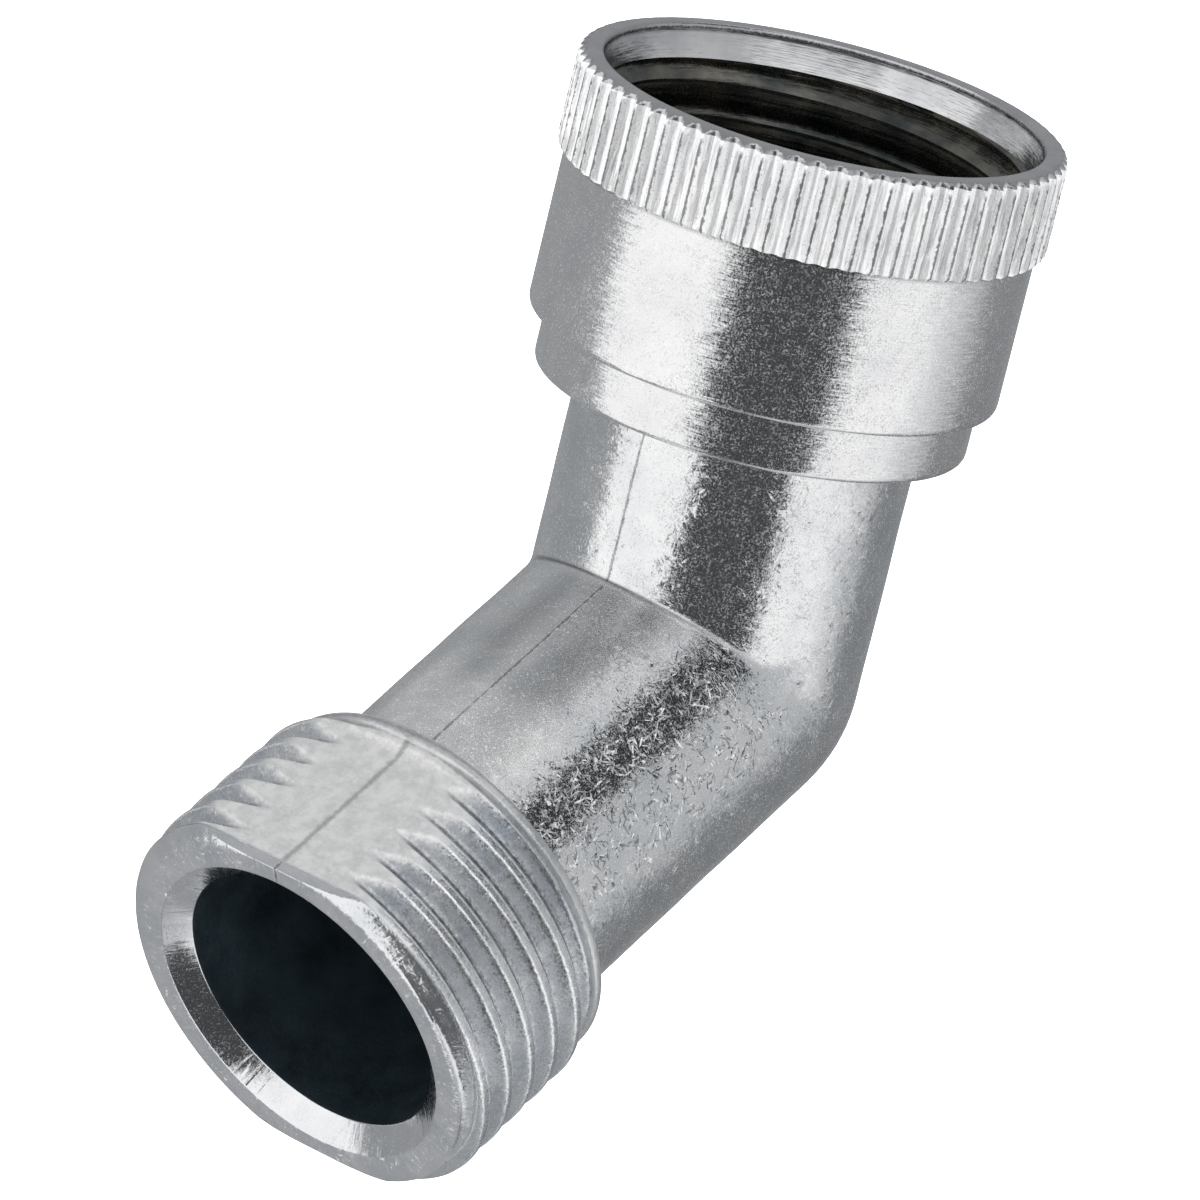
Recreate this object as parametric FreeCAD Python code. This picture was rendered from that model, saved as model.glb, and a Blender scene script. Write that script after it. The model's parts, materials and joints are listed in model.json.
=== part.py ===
"""Angled garden-hose elbow: a one-piece die-cast elbow with a swivel nut and a hose washer.

Frame: millimetres, +Z along the nut's axis and out of its mouth, origin at the centre of the mouth.
The outlet points down and towards -Y, and the whole part is symmetric about the plane X = 0
apart from its threads and the phase of its knurl.
"""

import FreeCAD, Part
import math
import os
from FreeCAD import Placement, Rotation, Vector

# Garden hose thread, 11.5 turns to the inch, 60 degree flanks
PITCH = 25.4 / 11.5
FLANK_HALF_ANGLE = math.radians(30)
MALE_CREST_R = 13.42
MALE_CREST_END_R = 13.22  # at the collar: the casting's draft
MALE_ROOT_R = 12.25
MALE_ROOT_WIDTH = 0.30
MALE_THREAD_TURNS = 7
MALE_GROOVE_PHASE = -0.22  # a groove's centre above the outlet's local +X, from the face
FEMALE_ROOT_R = 13.62
FEMALE_CREST_R = 12.40
FEMALE_ROOT_WIDTH = 0.35
FEMALE_THREAD_TURNS = 6
GROOVE_OVERSHOOT = 0.25  # how far a groove's cutter stands past the thread's crest

# Swivel nut: heights are z below the mouth plane
NUT_BODY_R = 14.66
NUT_BODY_END = -16.37
NUT_BODY_ROUND = 0.5
NUT_NECK_R = 13.52
NUT_END = -19.82
NUT_NECK_ROUND = 0.5
MOUTH_R = 13.70
MOUTH_ROUND = 0.25
LEAD_IN_END = -2.15
FEMALE_THREAD_START = -2.95
FEMALE_THREAD_END = -11.40
RELIEF_START = -12.10
RELIEF_R = 13.60
LIP_POCKET_START = -15.30
LIP_POCKET_R = 12.10
WEB_TOP = -17.30
WEB_HOLE_R = 9.75

# Knurl round the nut's mouth
KNURL_TEETH = 72
KNURL_CREST_R = 15.25
KNURL_ROOT_R = 14.72
KNURL_CREST_WIDTH = 0.16
KNURL_ROOT_WIDTH = 0.10
KNURL_END = -6.25
KNURL_CHAMFER = 0.28
KNURL_RING_R = 14.13  # inside of the ring that carries the knurl, buried in the nut's wall
KNURL_PHASE = math.radians(1.8)  # of a land's centre, from +X
RIM_ROUND = 0.80  # from the rim's flat top over to the knurl's lands

# Elbow casting
TUBE_R = 10.70
BEND_DEPTH = 36.32  # from the mouth plane to where the two tube axes meet
BEND_ANGLE = math.radians(60)  # the turn of the waterway
OUTLET_LENGTH = 37.55  # from where the axes meet to the outlet face
SHOULDER_GAP = 0.15
TAIL_GAP = 0.05
LIP_R = 11.80
LIP_TOP = -15.10
LIP_GAP = 0.15
LIP_CHAMFER = 0.35
TAIL_BORE_R = 8.20
CREASE_ROUND = 1.3

# Outlet end: depths are measured back from the outlet face
OUTLET_BORE_R = 9.16
OUTLET_BEVEL_R = 10.58
OUTLET_BEVEL_DEPTH = 1.24
OUTLET_FACE_R = 11.90
MALE_THREAD_LENGTH = 12.45
COLLAR_R = 12.70
COLLAR_WIDTH = 0.80
FLAT_HALF_WIDTH = 11.74

# Hose washer
WASHER_R = 12.25
WASHER_BORE_R = 8.20
WASHER_HEIGHT = 3.0
WASHER_ROUND = 0.3

ORIGIN = Vector(0, 0, 0)
UP = Vector(0, 0, 1)
BEND = Vector(0, 0, -BEND_DEPTH)
OUTLET_AXIS = Vector(0, -math.sin(BEND_ANGLE), -math.cos(BEND_ANGLE))
OUTLET_FACE = BEND + OUTLET_AXIS * OUTLET_LENGTH
JOIN_TOLERANCE = 1e-6  # outline ends closer than this already meet


def arc(start, mid, end):
    """An arc edge through three (r, z) points of a half section."""
    return Part.Arc(*(Vector(r, 0, z) for r, z in (start, mid, end))).toShape()


def quarter_arc(start, end, centre):
    """A quarter-circle edge between two (r, z) points about a centre."""
    radius = math.dist(start, centre)
    out_r = (start[0] + end[0]) / 2 - centre[0]
    out_z = (start[1] + end[1]) / 2 - centre[1]
    reach = radius / math.hypot(out_r, out_z)
    return arc(start, (centre[0] + out_r * reach, centre[1] + out_z * reach), end)


def ends(item):
    """Start and end points of an outline's item, which is an (r, z) corner or an arc edge."""
    if isinstance(item, tuple):
        corner = Vector(item[0], 0, item[1])
        return corner, corner
    return item.Vertexes[0].Point, item.Vertexes[-1].Point


def section(outline):
    """A closed half section: (r, z) corners and arc edges in order, joined by straight lines."""
    edges = []
    for item, follow in zip(outline, outline[1:] + outline[:1]):
        if not isinstance(item, tuple):
            edges.append(item)
        here = ends(item)[1]
        there = ends(follow)[0]
        if here.distanceToPoint(there) > JOIN_TOLERANCE:
            edges.append(Part.LineSegment(here, there).toShape())
    return Part.Face(Part.Wire(edges))


def turned(outline, sectors=1):
    """A solid of revolution about Z, made in one turn or joined from equal sectors."""
    face = section(outline)
    if sectors == 1:
        return face.revolve(ORIGIN, UP, 360)
    step = 360 / sectors
    pieces = []
    for i in range(sectors):
        piece = face.revolve(ORIGIN, UP, step)
        piece.rotate(ORIGIN, UP, i * step)
        pieces.append(piece)
    return pieces[0].multiFuse(pieces[1:]).Solids[0]


def thread_turn(root_r, root_width, crest_r):
    """One turn of the right-hand helical cutter for a thread: narrow at its root, wide past its crest."""
    way = 1 if crest_r > root_r else -1
    open_r = crest_r + way * GROOVE_OVERSHOOT
    half_root = root_width / 2
    half_open = half_root + abs(open_r - root_r) * math.tan(FLANK_HALF_ANGLE)
    corners = [(root_r, -half_root), (open_r, -half_open), (open_r, half_open), (root_r, half_root)]
    profile = Part.makePolygon([Vector(r, 0, z) for r, z in corners + corners[:1]])
    helix = Part.makeHelix(PITCH, PITCH, root_r)
    turn = Part.Wire(helix).makePipeShell([profile], True, True)
    if turn.Volume < 0:
        turn.reverse()
    return turn


def cut_thread(blank, root_r, root_width, crest_r, z_start, turns):
    """The blank with a groove cut turn by turn upwards; z_start is the groove's lowest centre above +X."""
    turn = thread_turn(root_r, root_width, crest_r)
    turn.translate(UP * z_start)
    for _ in range(turns):
        blank = blank.cut(turn)
        turn.translate(UP * PITCH)
    return blank


def knurl_ring():
    """The straight-knurled ring: V grooves between narrow lands, chamfered at both ends."""
    tooth = 2 * math.pi / KNURL_TEETH
    half_crest = KNURL_CREST_WIDTH / 2 / KNURL_CREST_R
    half_root = KNURL_ROOT_WIDTH / 2 / KNURL_ROOT_R
    corners = []
    for i in range(KNURL_TEETH):
        crest = KNURL_PHASE + i * tooth
        root = crest + tooth / 2
        corners.append((KNURL_CREST_R, crest - half_crest))
        corners.append((KNURL_CREST_R, crest + half_crest))
        corners.append((KNURL_ROOT_R, root - half_root))
        corners.append((KNURL_ROOT_R, root + half_root))
    outline = [Vector(r * math.cos(angle), r * math.sin(angle), KNURL_END) for r, angle in corners]
    star = Part.Face(Part.makePolygon(outline + outline[:1])).extrude(UP * -KNURL_END)
    rim_flat_r = KNURL_CREST_R - RIM_ROUND
    rim_round = quarter_arc((rim_flat_r, 0), (KNURL_CREST_R, -RIM_ROUND), (rim_flat_r, -RIM_ROUND))
    envelope = turned([
        (KNURL_RING_R, 0), rim_round, (KNURL_CREST_R, KNURL_END + KNURL_CHAMFER),
        (KNURL_CREST_R - KNURL_CHAMFER, KNURL_END), (KNURL_RING_R, KNURL_END),
    ])
    return star.common(envelope).Solids[0]


def make_swivel_nut():
    """Knurled female nut: plain lead-in, hose thread, washer relief, pocket for the lip, and a web."""
    body_round = quarter_arc(
        (NUT_BODY_R, NUT_BODY_END + NUT_BODY_ROUND),
        (NUT_BODY_R - NUT_BODY_ROUND, NUT_BODY_END),
        (NUT_BODY_R - NUT_BODY_ROUND, NUT_BODY_END + NUT_BODY_ROUND),
    )
    neck_round = quarter_arc(
        (NUT_NECK_R, NUT_END + NUT_NECK_ROUND),
        (NUT_NECK_R - NUT_NECK_ROUND, NUT_END),
        (NUT_NECK_R - NUT_NECK_ROUND, NUT_END + NUT_NECK_ROUND),
    )
    mouth_round = quarter_arc(
        (MOUTH_R, -MOUTH_ROUND),
        (MOUTH_R + MOUTH_ROUND, 0),
        (MOUTH_R + MOUTH_ROUND, -MOUTH_ROUND),
    )
    blank = turned([
        (KNURL_RING_R, 0), (NUT_BODY_R, KNURL_RING_R - NUT_BODY_R), body_round,
        (NUT_NECK_R, NUT_BODY_END), neck_round,
        (WEB_HOLE_R, NUT_END), (WEB_HOLE_R, WEB_TOP),
        (LIP_POCKET_R, WEB_TOP), (LIP_POCKET_R, LIP_POCKET_START),
        (RELIEF_R, LIP_POCKET_START), (RELIEF_R, RELIEF_START),
        (FEMALE_CREST_R, FEMALE_THREAD_END), (FEMALE_CREST_R, FEMALE_THREAD_START),
        (MOUTH_R, LEAD_IN_END), mouth_round,
    ], sectors=4)
    threaded = cut_thread(
        blank, FEMALE_ROOT_R, FEMALE_ROOT_WIDTH, FEMALE_CREST_R, RELIEF_START - PITCH, FEMALE_THREAD_TURNS
    )
    return threaded.fuse(knurl_ring()).Solids[0]


def outlet_end():
    """The threaded outlet and its collar, along +Z with the outlet face at z = 0."""
    lead = MALE_CREST_R - OUTLET_FACE_R
    lead_round = quarter_arc((OUTLET_FACE_R, 0), (MALE_CREST_R, -lead), (OUTLET_FACE_R, -lead))
    blank = turned([(0, 0), lead_round, (MALE_CREST_END_R, -MALE_THREAD_LENGTH), (0, -MALE_THREAD_LENGTH)])
    lowest_groove = MALE_GROOVE_PHASE - MALE_THREAD_TURNS * PITCH
    threaded = cut_thread(
        blank, MALE_ROOT_R, MALE_ROOT_WIDTH, MALE_CREST_R, lowest_groove, MALE_THREAD_TURNS + 1
    )
    for low_y in (FLAT_HALF_WIDTH, -FLAT_HALF_WIDTH - MALE_CREST_R):
        corner = Vector(-MALE_CREST_R, low_y, -MALE_THREAD_LENGTH)
        threaded = threaded.cut(Part.makeBox(2 * MALE_CREST_R, MALE_CREST_R, MALE_THREAD_LENGTH, corner))
    edge_r = COLLAR_WIDTH / 2
    top = -MALE_THREAD_LENGTH
    back = top - COLLAR_WIDTH
    collar_edge = arc((COLLAR_R - edge_r, top), (COLLAR_R, top - edge_r), (COLLAR_R - edge_r, back))
    collar = turned([(0, top), collar_edge, (0, back)])
    return threaded.fuse(collar)


def make_elbow_body():
    """One casting: flared lip, tail, shoulder, two tubes that meet at the bend, collar and hose thread."""
    shoulder = NUT_END - SHOULDER_GAP
    tail_r = WEB_HOLE_R - TAIL_GAP
    lip_bottom = WEB_TOP + LIP_GAP
    inlet_end = turned([
        (0, LIP_TOP), (LIP_R - LIP_CHAMFER, LIP_TOP), (LIP_R, LIP_TOP - LIP_CHAMFER), (LIP_R, lip_bottom),
        (tail_r, lip_bottom), (tail_r, shoulder), (TUBE_R, shoulder), (TUBE_R, -BEND_DEPTH), (0, -BEND_DEPTH),
    ])
    outlet_run = OUTLET_LENGTH - MALE_THREAD_LENGTH - COLLAR_WIDTH / 2
    lower_tube = Part.makeCylinder(TUBE_R, outlet_run, BEND, OUTLET_AXIS)
    skin = inlet_end.multiFuse([lower_tube, Part.makeSphere(TUBE_R, BEND)]).Solids[0]
    crease = [edge for edge in skin.Edges if isinstance(edge.Curve, Part.Ellipse)]
    skin = skin.makeFillet(CREASE_ROUND, crease)

    end = outlet_end()
    end.Placement = Placement(OUTLET_FACE, Rotation(UP, OUTLET_AXIS))
    skin = skin.fuse(end)

    upper_bore = Part.makeCylinder(TAIL_BORE_R, BEND_DEPTH + LIP_TOP, BEND, UP)
    lower_bore = Part.makeCylinder(OUTLET_BORE_R, OUTLET_LENGTH, BEND, OUTLET_AXIS)
    bend_bore = Part.makeSphere(OUTLET_BORE_R, BEND)
    bevel_start = OUTLET_FACE - OUTLET_AXIS * OUTLET_BEVEL_DEPTH
    bevel = Part.makeCone(OUTLET_BORE_R, OUTLET_BEVEL_R, OUTLET_BEVEL_DEPTH, bevel_start, OUTLET_AXIS)
    return skin.cut(upper_bore.multiFuse([lower_bore, bend_bore, bevel])).Solids[0]


def make_hose_washer():
    """Flat rubber ring that lies on the lip and seals against the tap's spout."""
    bottom = LIP_TOP
    top = bottom + WASHER_HEIGHT
    return turned([
        (WASHER_BORE_R, bottom), (WASHER_R - WASHER_ROUND, bottom), (WASHER_R, bottom + WASHER_ROUND),
        (WASHER_R, top - WASHER_ROUND), (WASHER_R - WASHER_ROUND, top), (WASHER_BORE_R, top),
    ])


def main():
    os.makedirs("parts", exist_ok=True)
    nodes = {
        "elbow_body": make_elbow_body(),
        "swivel_nut": make_swivel_nut(),
        "hose_washer": make_hose_washer(),
    }
    for name, shape in nodes.items():
        if not shape.isValid():
            raise ValueError(f"{name} is not a valid solid")
        print(name, "faces", len(shape.Faces), "volume mm3", round(shape.Volume, 1))
        shape.exportStep(f"parts/{name}.step")


main()
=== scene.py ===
"""Looks of an angled garden-hose elbow: a die-cast elbow, a knurled swivel nut and a hose washer."""

import json
import math

import bmesh
import bpy
import numpy as np
from mathutils import Matrix, Vector, noise


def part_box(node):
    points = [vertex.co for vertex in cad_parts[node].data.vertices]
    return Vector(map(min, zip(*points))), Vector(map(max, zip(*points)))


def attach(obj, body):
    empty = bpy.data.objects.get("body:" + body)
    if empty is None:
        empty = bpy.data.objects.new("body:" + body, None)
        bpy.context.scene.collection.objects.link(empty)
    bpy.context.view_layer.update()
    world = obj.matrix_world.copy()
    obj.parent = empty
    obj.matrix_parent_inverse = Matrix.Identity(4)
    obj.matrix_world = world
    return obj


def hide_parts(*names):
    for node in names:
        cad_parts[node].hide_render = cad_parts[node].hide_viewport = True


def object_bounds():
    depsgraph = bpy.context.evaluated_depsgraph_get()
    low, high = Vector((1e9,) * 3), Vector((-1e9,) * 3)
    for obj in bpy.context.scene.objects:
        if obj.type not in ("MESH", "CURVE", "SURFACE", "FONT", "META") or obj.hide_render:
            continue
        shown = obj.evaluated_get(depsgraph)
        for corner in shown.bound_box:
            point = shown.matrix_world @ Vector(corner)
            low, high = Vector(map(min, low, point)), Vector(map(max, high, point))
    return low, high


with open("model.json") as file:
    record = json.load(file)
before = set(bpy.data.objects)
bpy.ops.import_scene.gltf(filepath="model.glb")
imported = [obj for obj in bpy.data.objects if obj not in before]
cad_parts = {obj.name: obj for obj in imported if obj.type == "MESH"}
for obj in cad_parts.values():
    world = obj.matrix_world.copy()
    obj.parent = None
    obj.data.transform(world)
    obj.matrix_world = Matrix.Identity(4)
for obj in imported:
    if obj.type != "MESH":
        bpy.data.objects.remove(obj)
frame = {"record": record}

MM = 0.001
TURN = 2 * math.pi
cad_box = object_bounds()
mounts = {m["name"]: m for m in frame["record"]["mounts"]}

# ---------------------------------------------------------------------------
# Sizes, in millimetres
# ---------------------------------------------------------------------------

PITCH = 25.4 / 11.5
FLANK_SLOPE = math.tan(math.radians(30))

# Elbow
FACE = Vector(mounts["outlet_seal_face"]["pos_m"]) / MM
OUTLET_AXIS = Vector(mounts["outlet_seal_face"]["axis"]).normalized()
BEND = FACE - OUTLET_AXIS * (FACE.y / OUTLET_AXIS.y)
OUTLET_LENGTH = (FACE - BEND).length
BEND_ANGLE = OUTLET_AXIS.angle(Vector((0, 0, -1)))
TUBE_R = 10.70
LIP_TOP = mounts["inlet_seal_face"]["pos_m"][2] / MM - 3.0
LIP_R = 11.80
LIP_BOTTOM = -17.15
TAIL_R = 9.70
TAIL_BORE_R = 8.20
SHOULDER = -19.97
CREASE_ROUND = 1.3
OUTLET_BORE_R = 9.16
BEVEL_R = 10.58
BEVEL_DEPTH = 1.24
FACE_R = 11.90
MALE_CREST_R = 13.42
MALE_CREST_END_R = 13.22
MALE_ROOT_R = 12.25
MALE_ROOT_WIDTH = 0.30
MALE_RIDGE_PHASE = -0.772
THREAD_LENGTH = 12.45
THREAD_TOP = -0.9
COLLAR_R = 12.70
COLLAR_WIDTH = 0.80
COLLAR_FOOT = 0.35
FLAT_RAMP_START = 11.2
FLAT_RAMP_LENGTH = 2.0
FLAT_RAMP_RISE = 0.9
FLAT_HALF_WIDTH = 11.74

# Wear and a darker patch on the outlet's tube: degrees round it from its inner side, and millimetres past
# the bend's start
SCUFFED_FROM = 34
SCUFFED_TO = 88
PALE_TO = 36
DARK_PATCH_ANGLE = 13
DARK_PATCH_PLACE = 17

# Nut
KNURL_TEETH = 72
KNURL_CREST_R = 15.25
KNURL_ROOT_R = 14.72
KNURL_CREST_WIDTH = 0.16
KNURL_PHASE = math.radians(1.8)
KNURL_END = -6.25
KNURL_CHAMFER = 0.28
RIM_ROUND = 0.80
RIM_FINISH_END = -0.3
MOUTH_R = mounts["inlet_lead_in"]["dims"]["r_mm"]
LEAD_IN_TOP = -0.50
LEAD_IN_END = -2.15
LEAD_IN_END_R = 13.28
FEMALE_CREST_R = mounts["inlet_thread"]["dims"]["r_mm"]
FEMALE_ROOT_R = 13.62
FEMALE_ROOT_WIDTH = 0.35
FEMALE_RIDGE_PHASE = -0.505
FEMALE_THREAD_START = -2.95
FEMALE_THREAD_END = -11.40
RELIEF_START = -12.10
RELIEF_R = 13.60
NUT_BODY_R = 14.66
NUT_BODY_END = -16.37
NUT_NECK_R = 13.52
NUT_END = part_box("swivel_nut")[0].z / MM
LIP_POCKET_START = -15.30
LIP_POCKET_R = 12.10
WEB_TOP = -17.30
WEB_HOLE_R = 9.75


# ---------------------------------------------------------------------------
# Shape helpers
# ---------------------------------------------------------------------------

def soft_min(a, b, width):
    """The smaller of two arrays, blended over a width where they are close."""
    share = np.clip(0.5 + 0.5 * (b - a) / width, 0, 1)
    return b * (1 - share) + a * share - width * share * (1 - share)


def soft_max(a, b, width):
    return -soft_min(-a, -b, width)


def smooth_step(value):
    value = np.clip(value, 0, 1)
    return value * value * (3 - 2 * value)


def ridge_height(turns, root_width, depth):
    """Height from 0 at a thread's root to 1 at its crest; turns is the distance from a ridge's centre."""
    away = np.abs(turns - np.round(turns)) * PITCH
    rise = (PITCH / 2 - root_width / 2 - away) / (depth * FLANK_SLOPE)
    return soft_max(soft_min(rise, np.ones_like(rise), 0.16), np.zeros_like(rise), 0.16)


def rough(points, scale, size):
    """Smooth random offsets, one for each point, of about the given size."""
    flat = points.reshape(-1, 3)
    values = [noise.noise(Vector(p) * scale) for p in flat]
    return np.array(values).reshape(points.shape[:-1]) * size


def rounded_path(corners):
    """(radius, height) points along a line of corners (radius, height, rounding)."""
    path = []
    count = len(corners)
    for i, (radius, height, rounding) in enumerate(corners):
        here = np.array((radius, height))
        if rounding == 0 or i in (0, count - 1):
            path.append(here)
            continue
        to_last = np.array(corners[i - 1][:2]) - here
        to_next = np.array(corners[i + 1][:2]) - here
        start = here + to_last / np.linalg.norm(to_last) * rounding
        end = here + to_next / np.linalg.norm(to_next) * rounding
        for t in np.linspace(0, 1, 3 if rounding < 0.2 else 6):
            path.append((1 - t) ** 2 * start + 2 * t * (1 - t) * here + t ** 2 * end)
    return np.array(path)


class RingMesh:
    """A closed skin of rings. Each ring has one point per column; rings repeat to close the skin."""

    def __init__(self, name, angles):
        self.name = name
        self.angles = angles
        self.points = []
        self.flow = []
        self.finish = []
        self.recess = []
        self.worn = []
        self.scuffed = []

    def ring(self, points, flow, finish, recess=0.0, worn=0.0, scuffed=0.15):
        """One ring of points in millimetres. flow is the same ring on the straightened part.

        The darkening share goes from 0 on open surface to 1 where shade is painted into creases, corners
        and steps, and on a darker patch; worn goes to 1 where the surface is trimmed and dull, and scuffed
        to 1 where short scratches cover it.
        """
        self.points.append(points)
        self.flow.append(flow)
        self.finish.append(finish)
        self.recess.append(recess + 0 * self.angles)
        self.worn.append(worn + 0 * self.angles)
        self.scuffed.append(scuffed + 0 * self.angles)

    def build(self, materials, sharp_angle):
        points = np.array(self.points)
        flow = np.array(self.flow)
        rings, columns = points.shape[:2]
        mesh = bpy.data.meshes.new(self.name)
        faces = []
        finishes = []
        for i in range(rings):
            follow = (i + 1) % rings
            for j in range(columns - 1):
                this, other = i * columns + j, follow * columns + j
                faces.append((this, this + 1, other + 1, other))
                finishes.append(self.finish[i])
        mesh.from_pydata((points.reshape(-1, 3) * MM).tolist(), [], faces)
        names = list(materials)
        for material in materials.values():
            mesh.materials.append(material)
        mesh.polygons.foreach_set("material_index", [names.index(f) for f in finishes])
        layer = mesh.attributes.new("flow", "FLOAT_VECTOR", "POINT")
        layer.data.foreach_set("vector", flow.reshape(-1).astype(np.float32))
        for name, shares in (("recess", self.recess), ("worn", self.worn), ("scuffed", self.scuffed)):
            layer = mesh.attributes.new(name, "FLOAT", "POINT")
            layer.data.foreach_set("value", np.array(shares).reshape(-1).astype(np.float32))
        weld = bmesh.new()
        weld.from_mesh(mesh)
        bmesh.ops.remove_doubles(weld, verts=weld.verts, dist=2e-7)
        bmesh.ops.recalc_face_normals(weld, faces=weld.faces)
        weld.to_mesh(mesh)
        weld.free()
        mesh.shade_smooth()
        mesh.set_sharp_from_angle(angle=math.radians(sharp_angle))
        piece = bpy.data.objects.new(self.name, mesh)
        bpy.context.scene.collection.objects.link(piece)
        return piece


# ---------------------------------------------------------------------------
# Elbow
# ---------------------------------------------------------------------------

def elbow_angles():
    """Column angles round the tube from the inner side of the bend, closer together on the parting line."""
    step = TURN / 288
    near_line = (0.25, 0.6)
    angles = [i * step for i in range(-144, 145)]
    for degrees in near_line:
        fine = math.radians(degrees)
        angles += [fine, -fine, math.pi - fine, fine - math.pi]
    return np.array(sorted(angles))


# The path is the tubes' centre line. Distances on it count from the bend's start, which is at the height
# PATH_TOP, and the outlet's face is at the distance PATH_END.
BEND_R = TUBE_R + CREASE_ROUND
BEND_TANGENT = BEND_R * math.tan(BEND_ANGLE / 2)
PATH_BEND_LENGTH = BEND_R * BEND_ANGLE
PATH_TOP = BEND.z + BEND_TANGENT
PATH_END = PATH_BEND_LENGTH + OUTLET_LENGTH - BEND_TANGENT


def path_station(distance):
    """Centre, travel direction and inner side at a distance along the path; 0 is where the bend starts."""
    start = np.array(BEND) + np.array((0, 0, BEND_TANGENT))
    travel = np.array((0.0, 0.0, -1.0))
    inner = np.array((0.0, -1.0, 0.0))
    if distance <= 0:
        return start + travel * distance, travel, inner
    turned = min(distance / BEND_R, BEND_ANGLE)
    spin = np.array(Matrix.Rotation(-turned, 3, "X"))
    pivot = start + inner * BEND_R
    centre = pivot + spin @ (start - pivot)
    travel, inner = spin @ travel, spin @ inner
    return centre + travel * max(0, distance - PATH_BEND_LENGTH), travel, inner


def leg_distances(points):
    """Distances from points to the two half axes, and how far apart their nearest points are."""
    from_bend = points - np.array(BEND)
    legs = []
    for axis in (np.array((0, 0, 1.0)), np.array(OUTLET_AXIS)):
        along = np.clip(from_bend @ axis, 0, None)
        nearest = along[..., None] * axis
        legs.append((np.linalg.norm(from_bend - nearest, axis=-1), nearest))
    gap = np.linalg.norm(legs[0][1] - legs[1][1], axis=-1)
    return legs[0][0], legs[1][0], gap


def outer_field(points):
    """Signed distance to the outer skin; the crease is crisp inside the bend and fades at its sides."""
    upper, lower, gap = leg_distances(points)
    share = np.clip(gap / TUBE_R, 0, 1)
    fade = smooth_step((share - 0.26) / 0.14) * smooth_step((0.56 - share) / 0.16)
    width = 0.02 + 0.4 * share + 0.7 * fade
    return soft_min(upper, lower, width) - TUBE_R


def inner_field(points):
    """Signed distance to the waterway."""
    upper, lower, _ = leg_distances(points)
    return soft_min(upper - TAIL_BORE_R, lower - OUTLET_BORE_R, 0.05)


def cast_ring(distance, angles, field):
    """The ring where a skin's field is zero, in the plane across the path at a distance along it."""
    centre, _, inner = path_station(distance)
    side = np.array((1.0, 0, 0))
    out = np.cos(angles)[:, None] * inner + np.sin(angles)[:, None] * side
    low = np.zeros(len(angles))
    high = np.full(len(angles), 2 * TUBE_R)
    for _ in range(40):
        mid = (low + high) / 2
        inside = field(centre + out * mid[:, None]) < 0
        low = np.where(inside, mid, low)
        high = np.where(inside, high, mid)
    return centre, out, low


def parting_bump(angles):
    """The thin flash line where the die halves met, on the inner and outer sides."""
    off = np.minimum(np.abs(angles), math.pi - np.abs(angles)) * TUBE_R
    return np.exp(-(off / 0.07) ** 2)


def cut_flats(radius, angles, depth):
    """Radii cut back to the two flats, which ramp up gently where they meet the collar."""
    ramp = FLAT_RAMP_RISE * smooth_step((-depth - FLAT_RAMP_START) / FLAT_RAMP_LENGTH)
    for side in (0, math.pi):
        facing = np.cos(angles - side)
        flat_r = np.where(facing > 0.5, (FLAT_HALF_WIDTH + ramp) / np.maximum(facing, 0.5), 99)
        radius = soft_min(radius, flat_r, 0.34)
    return radius


def male_radius(angles, depth):
    """Radius of the outlet's threaded end at each angle; depth is negative, back from the face."""
    crest = MALE_CREST_R + (MALE_CREST_END_R - MALE_CREST_R) * (-depth / THREAD_LENGTH)
    turns = (depth + PITCH * angles / TURN - MALE_RIDGE_PHASE) / PITCH
    height = ridge_height(turns, MALE_ROOT_WIDTH, MALE_CREST_R - MALE_ROOT_R)
    run_out = smooth_step((depth + THREAD_LENGTH) / 0.8)
    radius = MALE_ROOT_R + (crest - MALE_ROOT_R) * height * run_out
    lead = MALE_CREST_R - FACE_R
    rise = np.clip(lead + depth, 0, lead)
    lead_r = np.where(depth < -lead, MALE_CREST_R + 1.0, FACE_R + np.sqrt(lead ** 2 - rise ** 2))
    return cut_flats(soft_min(radius, lead_r, 0.22), angles, depth)


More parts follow.
